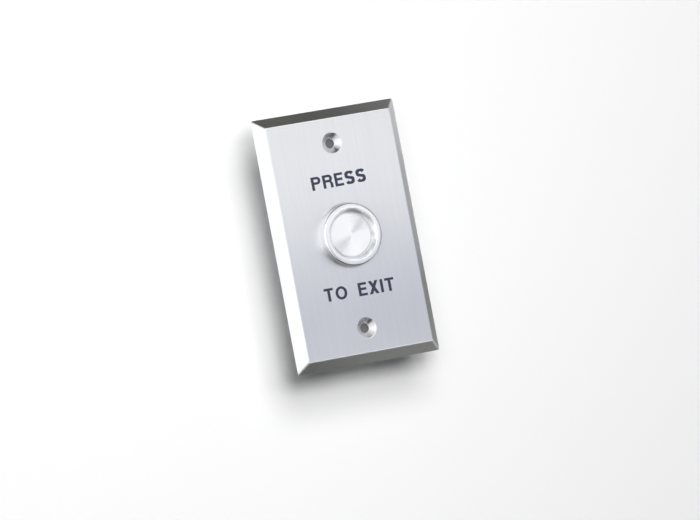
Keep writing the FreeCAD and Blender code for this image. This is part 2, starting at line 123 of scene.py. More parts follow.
def make_handling_haze():
    """Soft cloudy patches, as hands and cloths leave on metal and plastic."""
    group, given, result = shader_effect(
        "handling_haze", [("Place", "Vector"), ("Size", "Float")], [("Haze", "Float")])
    scale = put(group, "ShaderNodeMath", {0: 1.0, 1: given.outputs["Size"]}, operation="DIVIDE")
    noise = put(
        group, "ShaderNodeTexNoise",
        {"Vector": given.outputs["Place"], "Scale": scale.outputs[0], "Detail": 2.0})
    spread = put(
        group, "ShaderNodeMapRange",
        {"Value": noise.outputs["Fac"], "From Min": 0.35, "From Max": 0.65})
    group.links.new(spread.outputs[0], result.inputs["Haze"])
    return group


def make_painted_shade_ring():
    """A soft ring about the Y axis, stronger or weaker on one side, that masks painted shade."""
    side_full = 0.9
    group, given, result = shader_effect(
        "painted_shade_ring",
        [("Place", "Vector"), ("Radius", "Float"), ("Reach", "Float"), ("Side", "Vector"),
         ("Side Start", "Float"), ("On Side", "Float"), ("Elsewhere", "Float")],
        [("Line", "Float")])
    parts = put(group, "ShaderNodeSeparateXYZ", {0: given.outputs["Place"]})
    flat = put(group, "ShaderNodeCombineXYZ", {"X": parts.outputs["X"], "Y": parts.outputs["Z"]})
    length = put(group, "ShaderNodeVectorMath", {0: flat.outputs[0]}, operation="LENGTH")
    off = put(
        group, "ShaderNodeMath",
        {0: length.outputs["Value"], 1: given.outputs["Radius"]}, operation="SUBTRACT")
    away = put(group, "ShaderNodeMath", {0: off.outputs[0]}, operation="ABSOLUTE")
    fade = put(
        group, "ShaderNodeMapRange",
        {"Value": away.outputs[0], "From Max": given.outputs["Reach"],
         "To Min": 1.0, "To Max": 0.0})
    way = put(group, "ShaderNodeVectorMath", {0: flat.outputs[0]}, operation="NORMALIZE")
    facing = put(
        group, "ShaderNodeVectorMath",
        {0: way.outputs[0], 1: given.outputs["Side"]}, operation="DOT_PRODUCT")
    kept = put(
        group, "ShaderNodeMapRange",
        {"Value": facing.outputs["Value"],
         "From Min": given.outputs["Side Start"], "From Max": side_full,
         "To Min": given.outputs["Elsewhere"], "To Max": given.outputs["On Side"]})
    line = put(
        group, "ShaderNodeMath", {0: fade.outputs[0], 1: kept.outputs[0]}, operation="MULTIPLY")
    group.links.new(line.outputs[0], result.inputs["Line"])
    return group


drawn_lines = make_drawn_lines()
handling_haze = make_handling_haze()
painted_shade_ring = make_painted_shade_ring()


def new_material(name):
    """A material with its node tree and its shader."""
    material = bpy.data.materials.new(name)
    material.use_nodes = True
    return material, material.node_tree, material.node_tree.nodes["Principled BSDF"]


def tint_by(tree, shader, tone, dark, light):
    """Colour the shader from dark to light by a tone of 0 to 1."""
    tint = put(
        tree, "ShaderNodeMix",
        {"Factor": tone, 6: (*dark, 1), 7: (*light, 1)}, data_type="RGBA")
    tree.links.new(tint.outputs[2], shader.inputs["Base Color"])


def add_painted_shade(tree, shader, place, radius, reach, side, on_side, elsewhere, side_start=0.5):
    """Darken the shader's colour with painted shade in a ring about the place's Y axis."""
    # Near-black colour of the painted shade.
    painted_shade_tone = (0.05, 0.05, 0.055, 1)
    ring = put(
        tree, "ShaderNodeGroup",
        {"Place": place, "Radius": radius, "Reach": reach, "Side": side, "Side Start": side_start,
         "On Side": on_side, "Elsewhere": elsewhere},
        node_tree=painted_shade_ring)
    unshaded = shader.inputs["Base Color"].links[0].from_socket
    shaded = put(
        tree, "ShaderNodeMix",
        {"Factor": ring.outputs["Line"], 6: unshaded, 7: painted_shade_tone}, data_type="RGBA")
    tree.links.new(shaded.outputs[2], shader.inputs["Base Color"])


def roughen_by(tree, shader, tone, smooth, rough):
    """Set the shader's roughness from smooth to rough by a tone of 0 to 1."""
    spread = put(tree, "ShaderNodeMapRange", {"Value": tone, "To Min": smooth, "To Max": rough})
    tree.links.new(spread.outputs[0], shader.inputs["Roughness"])


def raise_by(tree, shader, height, depth, strength):
    """Give the shader relief of the given depth in metres."""
    bump = put(
        tree, "ShaderNodeBump", {"Height": height, "Distance": depth, "Strength": strength})
    tree.links.new(bump.outputs[0], shader.inputs["Normal"])


def make_brushed_stainless():
    """Stainless sheet with a vertical satin grain, which spreads what it reflects sideways, and
    painted shade round the bezel and the screw dimples.
    """
    material, tree, shader = new_material("brushed_stainless_sheet")
    place = put(tree, "ShaderNodeTexCoord").outputs["Object"]
    lines = put(
        tree, "ShaderNodeGroup",
        {"Place": place, "Fine": (4200, 4200, 55), "Broad": (700, 700, 14)},
        node_tree=drawn_lines)
    haze = put(tree, "ShaderNodeGroup", {"Place": place, "Size": 0.03}, node_tree=handling_haze)
    tint_by(tree, shader, lines.outputs["Tone"], (0.62, 0.63, 0.65), (0.76, 0.77, 0.79))
    # Painted shade round the bezel's foot, on all but its lit side.
    add_painted_shade(tree, shader, place, bezel_high.x, 1.0 * mm, bezel_lit_side, 0.0, 0.5)
    # Painted shade on each screw dimple's wall, on its upper side.
    for height in (-screw_hole_height, screw_hole_height):
        about_hole = put(
            tree, "ShaderNodeVectorMath", {0: place, 1: (0, 0, height)}, operation="SUBTRACT")
        add_painted_shade(
            tree, shader, about_hole.outputs[0], dimple_wall_radius, dimple_wall_reach, dimple_shaded_side,
            0.5, 0.0, 0.2)
    mixed = put(
        tree, "ShaderNodeMix",
        {"Factor": 0.35, 2: lines.outputs["Tone"], 3: haze.outputs["Haze"]})
    roughen_by(tree, shader, mixed.outputs[0], 0.26, 0.36)
    raise_by(tree, shader, lines.outputs["Height"], 0.004 * mm, 0.5)
    across = put(tree, "ShaderNodeCombineXYZ", {"X": 1.0})
    tree.links.new(across.outputs[0], shader.inputs["Tangent"])
    shader.inputs["Metallic"].default_value = 1.0
    shader.inputs["Anisotropic"].default_value = 0.88
    return material


nodes["faceplate"].material_slots[0].material = make_brushed_stainless()

# Legend
# The plain words PRESS and TO EXIT, printed in enamel ink above and below the button. The ink
# stands a hair proud of the steel and dries to a satin gloss.
letter_height = 5.95
letter_stem = 1.34
letter_bar = 1.12
letter_gap = 0.95
word_gap = 5.5
ink_thickness = 0.02
ink_bite = 0.004


def arc(centre_x, centre_z, radius_x, radius_z, start_deg, end_deg, steps=12):
    """Points of an upright ellipse's arc, both ends included."""
    turns = [math.radians(start_deg + (end_deg - start_deg) * i / steps) for i in range(steps + 1)]
    return [(centre_x + radius_x * math.cos(t), centre_z + radius_z * math.sin(t)) for t in turns]


def bowl(width, low, inset=0.0, side=0.0):
    """Round-ended bowl of a P or an R, from its foot to its head."""
    middle = (letter_height + low) / 2
    radius = (letter_height - low) / 2
    end = width - radius
    return arc(end, middle, radius - side, radius - inset, -90, 90)


def letter_p(width=4.65):
    low = 0.42 * letter_height
    outside = [(0, 0), (letter_stem, 0), (letter_stem, low)] + bowl(width, low)
    outside.append((0, letter_height))
    inside = [(letter_stem, low + letter_bar)] + bowl(width, low, letter_bar, letter_stem)
    inside.append((letter_stem, letter_height - letter_bar))
    return width, [outside, inside]


def letter_r(width=4.85):
    low = 0.43 * letter_height
    leg_turn = 0.7
    leg_lean = 0.05
    leg = width - letter_stem
    bowl_width = width - 0.1
    outside = [(0, 0), (letter_stem, 0), (letter_stem, low)]
    outside += arc(leg - leg_turn, low - leg_turn, leg_turn, leg_turn, 90, 0, 6)
    outside += [(leg, 0), (width, 0), (width - leg_lean, low - leg_turn)]
    radius = (letter_height - low) / 2
    outside += arc(bowl_width - radius, low + radius, radius, radius, -48, 90)
    outside.append((0, letter_height))
    inside = [(letter_stem, low + letter_bar)]
    inside += bowl(bowl_width, low, letter_bar, letter_stem)
    inside.append((letter_stem, letter_height - letter_bar))
    return width, [outside, inside]


def letter_e(width=4.2):
    middle = 0.52 * letter_height
    arm = 0.93 * width
    return width, [[
        (0, 0), (width, 0), (width, letter_bar), (letter_stem, letter_bar),
        (letter_stem, middle - letter_bar / 2), (arm, middle - letter_bar / 2),
        (arm, middle + letter_bar / 2), (letter_stem, middle + letter_bar / 2),
        (letter_stem, letter_height - letter_bar), (width, letter_height - letter_bar),
        (width, letter_height), (0, letter_height)]]


def letter_t(width=4.5):
    left = (width - letter_stem) / 2
    under = letter_height - letter_bar
    return width, [[
        (left, 0), (left + letter_stem, 0), (left + letter_stem, under), (width, under),
        (width, letter_height), (0, letter_height), (0, under), (left, under)]]


def letter_i(width=letter_stem):
    return width, [[(0, 0), (width, 0), (width, letter_height), (0, letter_height)]]


def letter_o(width=5.7):
    half = letter_height / 2
    steps = 29
    last_deg = 360 * steps / (steps + 1)
    outside = arc(width / 2, half, width / 2, half, 0, last_deg, steps)
    inside = arc(width / 2, half, width / 2 - letter_stem, half - letter_bar, 0, last_deg, steps)
    return width, [outside, inside]


def letter_x(width=4.8):
    foot = 1.2 * letter_stem
    half = letter_height / 2
    notch = letter_height * (width - 2 * foot) / (2 * (width - foot))
    return width, [[
        (0, 0), (foot, 0), (width / 2, notch), (width - foot, 0), (width, 0),
        ((width + foot) / 2, half), (width, letter_height), (width - foot, letter_height),
        (width / 2, letter_height - notch), (foot, letter_height), (0, letter_height),
        ((width - foot) / 2, half)]]


def letter_s(width=4.55):
    """Two bowls joined by a sloping spine, drawn as one stroke, thinner where it runs level."""
    spine_slope = 0.55
    spine_pull = 0.42
    half_stroke = 0.46
    reach = (width - letter_stem) / 2
    rise = (letter_height - letter_bar) / 4
    upper = letter_height - letter_bar / 2 - rise
    lower = letter_bar / 2 + rise
    line = arc(width / 2, upper, reach, rise, 22, 228, 16)
    far_end = arc(width / 2, lower, reach, rise, 48, -158, 16)
    start, end = Vector(line[-1]), Vector(far_end[0])
    along = Vector((reach, -rise * spine_slope)) * spine_pull
    for i in range(1, 6):
        t = i / 6
        point = (
            start * (1 - t) ** 3 + (start + along) * 3 * t * (1 - t) ** 2
            + (end - along) * 3 * t * t * (1 - t) + end * t ** 3)
        line.append(tuple(point))
    line += far_end
    left, right = [], []
    for i, here in enumerate(line):
        before = Vector(line[max(i - 1, 0)])
        after = Vector(line[min(i + 1, len(line) - 1)])
        way = (after - before).normalized()
        half = half_stroke * (letter_stem * abs(way.y) + letter_bar * abs(way.x))
        aside = Vector((-way.y, way.x)) * half
        left.append(tuple(Vector(here) + aside))
        right.append(tuple(Vector(here) - aside))
    return width, [left + right[::-1]]


letters = {
    "P": letter_p, "R": letter_r, "E": letter_e, "S": letter_s,
    "T": letter_t, "O": letter_o, "X": letter_x, "I": letter_i,
}


def make_ink():
    """Dark blue-grey enamel, a little uneven where it was wiped."""
    material, tree, shader = new_material("legend_ink")
    place = put(tree, "ShaderNodeTexCoord").outputs["Object"]
    lines = put(
        tree, "ShaderNodeGroup",
        {"Place": place, "Fine": (2600, 2600, 900), "Broad": (500, 500, 160)},
        node_tree=drawn_lines)
    tint_by(tree, shader, lines.outputs["Tone"], (0.014, 0.016, 0.034), (0.030, 0.033, 0.062))
    roughen_by(tree, shader, lines.outputs["Tone"], 0.34, 0.5)
    raise_by(tree, shader, lines.outputs["Height"], 0.004 * mm, 0.4)
    return material


def words_width(words):
    """Length of a line of letters, in millimetres."""
    width = -letter_gap
    for sign in words:
        width += word_gap - letter_gap if sign == " " else letters[sign]()[0] + letter_gap
    return width


def write_words(name, words, middle_x, middle_z, turn_deg, material):
    """Lay one line of raised letters on the plate's front, turned a little out of level."""
    outline = bpy.data.curves.new(name, "CURVE")
    outline.dimensions = "2D"
    outline.fill_mode = "BOTH"
    outline.extrude = (ink_thickness + ink_bite) / 2 * mm
    left = -words_width(words) / 2
    for sign in words:
        if sign == " ":
            left += word_gap - letter_gap
            continue
        width, loops = letters[sign]()
        for loop in loops:
            spline = outline.splines.new("POLY")
            spline.points.add(len(loop) - 1)
            for point, (x, z) in zip(spline.points, loop):
                point.co = ((left + x) * mm, (z - letter_height / 2) * mm, 0, 1)
            spline.use_cyclic_u = True
        left += width + letter_gap
    flat = bpy.data.objects.new(name + "_outline", outline)
    bpy.context.scene.collection.objects.link(flat)
    ready = bpy.context.evaluated_depsgraph_get()
    mesh = bpy.data.meshes.new_from_object(flat.evaluated_get(ready))
    bpy.data.objects.remove(flat)
    middle_y = plate_low.y - (ink_thickness - ink_bite) / 2 * mm
    upright = Matrix.Rotation(math.pi / 2, 4, "X")
    turned = Matrix.Rotation(-math.radians(turn_deg), 4, "Y") @ upright
    mesh.transform(Matrix.Translation((middle_x * mm, middle_y, middle_z * mm)) @ turned)
    mesh.name = name
    mesh.materials.clear()
    mesh.materials.append(material)
    piece = bpy.data.objects.new(name, mesh)
    bpy.context.scene.collection.objects.link(piece)
    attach(piece, "plate_assembly")


ink = make_ink()
write_words("legend_press", "PRESS", -0.2, 25.15, 0.9, ink)
write_words("legend_to_exit", "TO EXIT", -0.1, -24.6, 0.0, ink)

# Bezel and button cap
# Both are turned from stainless bar: the bezel and its barrel are one piece, clamped through the
# plate, and the cap slides in it. The tool left fine rings on every face, so light fans across it.


def make_lathe_places():
    """Coordinates that change fast across a turned face and slowly round it."""
    group, given, result = shader_effect(
        "lathe_places", [("Place", "Vector")], [("Place", "Vector")])
    parts = put(group, "ShaderNodeSeparateXYZ", {0: given.outputs["Place"]})
    flat = put(group, "ShaderNodeCombineXYZ", {"X": parts.outputs["X"], "Y": parts.outputs["Z"]})
    length = put(group, "ShaderNodeVectorMath", {0: flat.outputs[0]}, operation="LENGTH")
    way = put(group, "ShaderNodeVectorMath", {0: flat.outputs[0]}, operation="NORMALIZE")
    across = put(
        group, "ShaderNodeMath",
        {0: length.outputs["Value"], 1: parts.outputs["Y"]}, operation="SUBTRACT")
    ways = put(group, "ShaderNodeSeparateXYZ", {0: way.outputs[0]})
    made = put(
        group, "ShaderNodeCombineXYZ",
        {"X": across.outputs[0], "Y": ways.outputs["X"], "Z": ways.outputs["Y"]})
    group.links.new(made.outputs[0], result.inputs["Place"])
    return group


lathe_places = make_lathe_places()


def make_turned_metal(name, dark, light, smooth, rough, anisotropy, ring_depth, corners=()):
    """Lathe-turned metal: fine rings about the button's axis, with painted shade along the given
    rings.
    """
    material, tree, shader = new_material(name)
    place = put(tree, "ShaderNodeTexCoord").outputs["Object"]
    round_place = put(tree, "ShaderNodeGroup", {"Place": place}, node_tree=lathe_places)
    lines = put(
        tree, "ShaderNodeGroup",
        {"Place": round_place.outputs[0], "Fine": (5200, 1.6, 1.6), "Broad": (900, 0.8, 0.8)},
        node_tree=drawn_lines)
    haze = put(tree, "ShaderNodeGroup", {"Place": place, "Size": 0.012}, node_tree=handling_haze)
    tint_by(tree, shader, lines.outputs["Tone"], dark, light)
    for corner in corners:
        add_painted_shade(tree, shader, place, *corner)
    mixed = put(
        tree, "ShaderNodeMix",
        {"Factor": 0.35, 2: lines.outputs["Tone"], 3: haze.outputs["Haze"]})
    roughen_by(tree, shader, mixed.outputs[0], smooth, rough)
    raise_by(tree, shader, lines.outputs["Height"], ring_depth, 0.5)
    rings = put(tree, "ShaderNodeTangent", direction_type="RADIAL", axis="Y")
    tree.links.new(rings.outputs[0], shader.inputs["Tangent"])
    shader.inputs["Metallic"].default_value = 1.0
    shader.inputs["Anisotropic"].default_value = anisotropy
    shader.inputs["Anisotropic Rotation"].default_value = 0.25
    return material


to_right = (1, 0, 0)
to_upper_right = (0.5, 0.866, 0)
to_foot = (-0.3, -0.95, 0)
cone_foot_radius = 10.45 * mm
cone_middle_radius = 10.9 * mm
rim_outer_radius = 13.4 * mm
outline_radius = bezel_high.x - 0.35 * mm
# The bezel's rings of painted shade: a faint one all round the rim band, an outline at its outer
# edge except on the lit side, a contact shadow at its foot's lower side, shade at the inner cone's
# foot except on the right, and a dark crescent on the inner cone's upper right.
turned_bezel = make_turned_metal(
    "turned_bezel_steel", (0.85, 0.86, 0.875), (0.93, 0.94, 0.95), 0.12, 0.18, 0.4, 0.0015 * mm,
    [(rim_outer_radius, 1.3 * mm, to_right, 0.09, 0.09),
     (outline_radius, 0.85 * mm, bezel_lit_side, 0.0, 0.5),
     (bezel_high.x, 0.3 * mm, to_foot, 0.6, 0.0),
     (cone_foot_radius, 0.7 * mm, to_right, 0.0, 0.5),
     (cone_middle_radius, 1.2 * mm, to_upper_right, 0.56, 0.0, 0.78)])
spun_cap = make_turned_metal(
    "spun_cap_steel", (0.92, 0.93, 0.945), (0.98, 0.985, 0.99), 0.36, 0.43, 0.95, 0.004 * mm)
nodes["button_housing"].material_slots[0].material = turned_bezel
nodes["button_cap"].material_slots[0].material = spun_cap

# Barrel thread
# The fine fastening thread rolled on the barrel, behind the plate. The nut runs on it; it starts
# just behind the nut's rear face and runs out before the barrel's chamfered end.
thread_pitch = 1.0 * mm
thread_ridge = 0.3 * mm
thread_stand = 0.16 * mm
thread_end_gap = 0.9 * mm
_, nut_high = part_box("lock_nut")
barrel_radius = 12.4 * mm


def make_thread_tree():
    """Helical ridge about Z, from its turns, pitch, radius and ridge size."""
    tree = bpy.data.node_groups.new("thread_ridge", "GeometryNodeTree")
    for label, kind in (
            ("Turns", "Float"), ("Pitch", "Float"), ("Radius", "Float"), ("Ridge", "Float"),
            ("Finish", "Material")):
        tree.interface.new_socket(label, in_out="INPUT", socket_type="NodeSocket" + kind)
    tree.interface.new_socket("Mesh", in_out="OUTPUT", socket_type="NodeSocketGeometry")
    given = put(tree, "NodeGroupInput")
    rise = put(
        tree, "ShaderNodeMath",
        {0: given.outputs["Turns"], 1: given.outputs["Pitch"]}, operation="MULTIPLY")
    helix = put(
        tree, "GeometryNodeCurveSpiral",
        {"Resolution": 96, "Rotations": given.outputs["Turns"],
         "Start Radius": given.outputs["Radius"], "End Radius": given.outputs["Radius"],
         "Height": rise.outputs[0]})
    section = put(
        tree, "GeometryNodeCurvePrimitiveCircle",
        {"Resolution": 6, "Radius": given.outputs["Ridge"]})
    ridge = put(
        tree, "GeometryNodeCurveToMesh",
        {"Curve": helix.outputs[0], "Profile Curve": section.outputs[0], "Fill Caps": True})
    real = put(tree, "GeometryNodeRealizeInstances", {0: ridge.outputs[0]})
    finish = put(
        tree, "GeometryNodeSetMaterial",
        {"Geometry": real.outputs[0], "Material": given.outputs["Finish"]})
    put(tree, "NodeGroupOutput", {0: finish.outputs[0]})
    return tree


def grow(tree, name, values, placed):
    """Run a geometry tree with the given inputs, and keep its mesh, put where it belongs."""
    seed = bpy.data.objects.new(name + "_seed", bpy.data.meshes.new(name + "_seed"))
    bpy.context.scene.collection.objects.link(seed)
    modifier = seed.modifiers.new("shape", "NODES")
    modifier.node_group = tree
    for socket in tree.interface.items_tree:
        if socket.in_out == "INPUT":
            modifier[socket.identifier] = values[socket.name]
    ready = bpy.context.evaluated_depsgraph_get()
    mesh = bpy.data.meshes.new_from_object(seed.evaluated_get(ready))
    bpy.data.objects.remove(seed)
    mesh.transform(placed)
    mesh.name = name
    piece = bpy.data.objects.new(name, mesh)
    bpy.context.scene.collection.objects.link(piece)
    return piece


thread_start = nut_high.y + thread_end_gap
thread_length = bezel_high.y - thread_end_gap - thread_start
to_axis = Matrix.Translation((0, thread_start, 0)) @ Matrix.Rotation(-math.pi / 2, 4, "X")
thread = grow(
    make_thread_tree(), "barrel_thread",
    {"Turns": thread_length / thread_pitch, "Pitch": thread_pitch,
     "Radius": barrel_radius - thread_ridge + thread_stand, "Ridge": thread_ridge,
     "Finish": turned_bezel},
    to_axis)
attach(thread, "plate_assembly")

# Rubber seals
# Black nitrile rings: one flat under the bezel, one round the cap and one round its stem. They
# are moulded, so their skin is fine and even, with a dull sheen.


def make_rubber():
    """Black rubber with a fine moulded skin."""
    material, tree, shader = new_material("nitrile_rubber_black")
    place = put(tree, "ShaderNodeTexCoord").outputs["Object"]
    grain = put(tree, "ShaderNodeTexNoise", {"Vector": place, "Scale": 2500.0, "Detail": 3.0})
    haze = put(tree, "ShaderNodeGroup", {"Place": place, "Size": 0.006}, node_tree=handling_haze)
    tint_by(tree, shader, haze.outputs["Haze"], (0.012, 0.012, 0.013), (0.028, 0.028, 0.030))
    roughen_by(tree, shader, grain.outputs["Fac"], 0.45, 0.7)
    raise_by(tree, shader, grain.outputs["Fac"], 0.02 * mm, 0.5)
    return material


rubber = make_rubber()
for name in ("panel_gasket", "cap_seal_ring", "stem_seal_ring"):
    nodes[name].material_slots[0].material = rubber

# Nut, washer and screws
# Steel pressings and turned screws with bright zinc plating, slightly blue from its passivation.
# The nut and the toothed washer clamp the barrel to the plate from behind.


def make_zinc(name, line_scale):
    """Bright zinc on steel, with fine tool lines and a faint blue bloom."""
    material, tree, shader = new_material(name)
    place = put(tree, "ShaderNodeTexCoord").outputs["Object"]
    lines = put(
        tree, "ShaderNodeGroup",
        {"Place": place, "Fine": line_scale, "Broad": (260, 260, 260)}, node_tree=drawn_lines)
    haze = put(tree, "ShaderNodeGroup", {"Place": place, "Size": 0.004}, node_tree=handling_haze)
    tint_by(tree, shader, haze.outputs["Haze"], (0.60, 0.62, 0.64), (0.70, 0.73, 0.78))
    roughen_by(tree, shader, lines.outputs["Tone"], 0.24, 0.42)
    raise_by(tree, shader, lines.outputs["Height"], 0.006 * mm, 0.5)
    shader.inputs["Metallic"].default_value = 1.0
    return material


zinc_pressed = make_zinc("zinc_plated_pressing", (1400, 1400, 1400))
zinc_turned = make_zinc("zinc_plated_screw", (2400, 300, 2400))
for name in ("lock_washer", "lock_nut", "clamp_washers"):
    nodes[name].material_slots[0].material = zinc_pressed
for name in ("plunger_screw", "terminal_screws"):
    nodes[name].material_slots[0].material = zinc_turned

# Springs and retaining ring
# Hard-drawn spring wire and a stamped spring ring. The return spring pushes the cap out and
# shortens as the cap is pressed; the small one presses the moving contact.


def make_spring_steel():
    """Drawn spring steel, oiled and a little dark."""
    material, tree, shader = new_material("drawn_spring_steel")
    place = put(tree, "ShaderNodeTexCoord").outputs["Object"]
    lines = put(
        tree, "ShaderNodeGroup",
        {"Place": place, "Fine": (900, 3600, 900), "Broad": (240, 500, 240)},
        node_tree=drawn_lines)
    tint_by(tree, shader, lines.outputs["Tone"], (0.34, 0.34, 0.35), (0.52, 0.52, 0.53))
    roughen_by(tree, shader, lines.outputs["Tone"], 0.22, 0.4)
    raise_by(tree, shader, lines.outputs["Height"], 0.004 * mm, 0.4)
    shader.inputs["Metallic"].default_value = 1.0
    return material


spring_steel = make_spring_steel()
for name in ("bush_retaining_ring", "contact_spring"):
    nodes[name].material_slots[0].material = spring_steel


def make_pressed_spring():
    """The return spring's own coil: a welded, smooth-shaded copy of its mesh."""
    weld_distance = 0.002 * mm
    sharp_angle = math.radians(40)
    mesh = nodes["return_spring"].data.copy()
    mesh.name = "return_spring_coil"
    shape = bmesh.new()
    shape.from_mesh(mesh)
    bmesh.ops.remove_doubles(shape, verts=shape.verts, dist=weld_distance)
    shape.to_mesh(mesh)
    shape.free()
    mesh.shade_smooth()
    mesh.set_sharp_from_angle(angle=sharp_angle)
    mesh.materials.clear()
    mesh.materials.append(spring_steel)
    piece = bpy.data.objects.new("return_spring_coil", mesh)
    bpy.context.scene.collection.objects.link(piece)
    return piece


return_spring = make_pressed_spring()
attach(return_spring, "plate_assembly")
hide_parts("return_spring")
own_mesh(return_spring)

# Guide bush and contacts
# The bush is turned brass; the moving bar and the four fixed strips are stamped from contact
# brass, with silver rivet tips pressed through them where they touch.
turned_brass = make_turned_metal(
    "turned_brass", (0.68, 0.50, 0.24), (0.80, 0.61, 0.31), 0.2, 0.32, 0.4, 0.004 * mm)
nodes["guide_bush"].material_slots[0].material = turned_brass


def make_stamped(name, dark, light, smooth, rough):
    """Stamped sheet metal with rolling lines and a little tarnish."""
    material, tree, shader = new_material(name)
    place = put(tree, "ShaderNodeTexCoord").outputs["Object"]
    lines = put(
        tree, "ShaderNodeGroup",
        {"Place": place, "Fine": (3200, 260, 260), "Broad": (500, 90, 90)},
        node_tree=drawn_lines)
    haze = put(tree, "ShaderNodeGroup", {"Place": place, "Size": 0.003}, node_tree=handling_haze)
    tint_by(tree, shader, haze.outputs["Haze"], dark, light)
    roughen_by(tree, shader, lines.outputs["Tone"], smooth, rough)
    raise_by(tree, shader, lines.outputs["Height"], 0.004 * mm, 0.4)
    shader.inputs["Metallic"].default_value = 1.0
    return material


stamped_brass = make_stamped("stamped_brass", (0.62, 0.42, 0.18), (0.78, 0.58, 0.28), 0.26, 0.4)
contact_silver = make_stamped("contact_silver", (0.74, 0.73, 0.70), (0.90, 0.89, 0.87), 0.2, 0.34)
for name in (
        "bridge_contact", "nc_contact_left", "nc_contact_right", "no_contact_left",
        "no_contact_right"):
    nodes[name].material_slots[0].material = stamped_brass
for name in ("bridge_contact_tips", "fixed_contact_tips"):
    nodes[name].material_slots[0].material = contact_silver

# Contact case, terminal base and plunger
# Glass-filled nylon mouldings: the case is pressed into the barrel, the base snaps into the case,
# and the pale plunger carries the moving contact. Spark-eroded tools left a fine matt grain.


def make_moulding(name, dark, light, smooth, rough):
    """Matt moulded plastic with an eroded grain and faint flow marks."""
    material, tree, shader = new_material(name)
    place = put(tree, "ShaderNodeTexCoord").outputs["Object"]
    grain = put(tree, "ShaderNodeTexNoise", {"Vector": place, "Scale": 3800.0, "Detail": 2.0})
    haze = put(tree, "ShaderNodeGroup", {"Place": place, "Size": 0.005}, node_tree=handling_haze)
    tint_by(tree, shader, haze.outputs["Haze"], dark, light)
    roughen_by(tree, shader, grain.outputs["Fac"], smooth, rough)
    raise_by(tree, shader, grain.outputs["Fac"], 0.03 * mm, 0.6)
    return material


black_moulding = make_moulding(
    "black_moulding", (0.022, 0.022, 0.024), (0.036, 0.036, 0.039), 0.42, 0.62)
pale_moulding = make_moulding(
    "pale_moulding", (0.62, 0.60, 0.55), (0.70, 0.68, 0.63), 0.38, 0.55)
for name in ("contact_case", "terminal_base"):
    nodes[name].material_slots[0].material = black_moulding
nodes["plunger"].material_slots[0].material = pale_moulding

# Studio
# A white backdrop close behind the part catches its soft shadow, a pale floor lies below, and dark
# paper stands behind the screw holes as painted shade seen through them. Cards and bright strips,
# which only the metal's reflections show, give the bevels, the bezel and the cap their tones.


def plane(name, corners, material):
    """A flat stage sheet through the given corners."""
    mesh = bpy.data.meshes.new(name)
    mesh.from_pydata([Vector(c) for c in corners], [], [tuple(range(len(corners)))])
    mesh.materials.append(material)
    sheet = bpy.data.objects.new(name, mesh)
    bpy.context.scene.collection.objects.link(sheet)
    return sheet


def rays_that_see(tree):
    """Light Path, and a socket that is 1 for rays from the camera or through metal or glass."""
    path = put(tree, "ShaderNodeLightPath")
    seen = put(
        tree, "ShaderNodeMath",
        {0: path.outputs["Is Camera Ray"], 1: path.outputs["Is Glossy Ray"]}, operation="MAXIMUM")
    seen_or_through = put(
        tree, "ShaderNodeMath",
        {0: seen.outputs[0], 1: path.outputs["Is Transmission Ray"]}, operation="MAXIMUM")
    return path, seen_or_through.outputs[0]


def make_paper(name, albedo, near_glow, far_glow, shows_in_metal=True):
    """Matt paper that glows a little where it is seen, and is clear from behind and to lamps."""
    glow_start = 0.6
    glow_end = 1.4
    material, tree, shader = new_material(name)
    tree.nodes.remove(shader)
    output = tree.nodes["Material Output"]
    path, seen = rays_that_see(tree)
    paper = put(tree, "ShaderNodeBsdfDiffuse", {"Color": (albedo, albedo, albedo, 1)})
    place = put(tree, "ShaderNodeTexCoord").outputs["Object"]
    away = put(tree, "ShaderNodeVectorMath", {0: place}, operation="LENGTH")
    glow = put(
        tree, "ShaderNodeMapRange",
        {"Value": away.outputs["Value"], "From Min": glow_start, "From Max": glow_end,
         "To Min": near_glow, "To Max": far_glow})
    level = put(tree, "ShaderNodeMath", {0: seen, 1: glow.outputs[0]}, operation="MULTIPLY")
    lift = put(tree, "ShaderNodeEmission", {"Strength": level.outputs[0]})
    lit = put(tree, "ShaderNodeAddShader", {0: paper.outputs[0], 1: lift.outputs[0]})
    behind = put(tree, "ShaderNodeNewGeometry").outputs["Backfacing"]
    clear = put(
        tree, "ShaderNodeMath", {0: behind, 1: path.outputs["Is Shadow Ray"]}, operation="MAXIMUM")
    if not shows_in_metal:
        undiffused = put(
            tree, "ShaderNodeMath",
            {0: path.outputs["Diffuse Depth"], 1: 0.5}, operation="LESS_THAN")
        in_metal = put(
            tree, "ShaderNodeMath",
            {0: undiffused.outputs[0], 1: path.outputs["Is Glossy Ray"]}, operation="MULTIPLY")
        clear = put(
            tree, "ShaderNodeMath",
            {0: clear.outputs[0], 1: in_metal.outputs[0]}, operation="MAXIMUM")
    through = put(tree, "ShaderNodeBsdfTransparent")
    put_through = put(
        tree, "ShaderNodeMixShader",
        {0: clear.outputs[0], 1: lit.outputs[0], 2: through.outputs[0]})
    tree.links.new(put_through.outputs[0], output.inputs["Surface"])
    return material


def make_card(name, stops, low=0.0, high=1.0, along="Z"):
    """A glowing card, graded from low to high along an axis, that only reflections show."""
    material, tree, shader = new_material(name)
    tree.nodes.remove(shader)
    place = put(tree, "ShaderNodeTexCoord").outputs["Object"]
    parts = put(tree, "ShaderNodeSeparateXYZ", {0: place})
    share = put(
        tree, "ShaderNodeMapRange",
        {"Value": parts.outputs[along], "From Min": low, "From Max": high})
    ramp = put(tree, "ShaderNodeValToRGB", {0: share.outputs[0]})
    while len(ramp.color_ramp.elements) < len(stops):
        ramp.color_ramp.elements.new(0.5)
    for element, (position, colour) in zip(ramp.color_ramp.elements, stops):
        element.position = position
        element.color = (*colour, 1)
    glow = put(tree, "ShaderNodeEmission", {"Color": ramp.outputs[0], "Strength": 1.0})
    tree.links.new(glow.outputs[0], tree.nodes["Material Output"].inputs["Surface"])
    return material


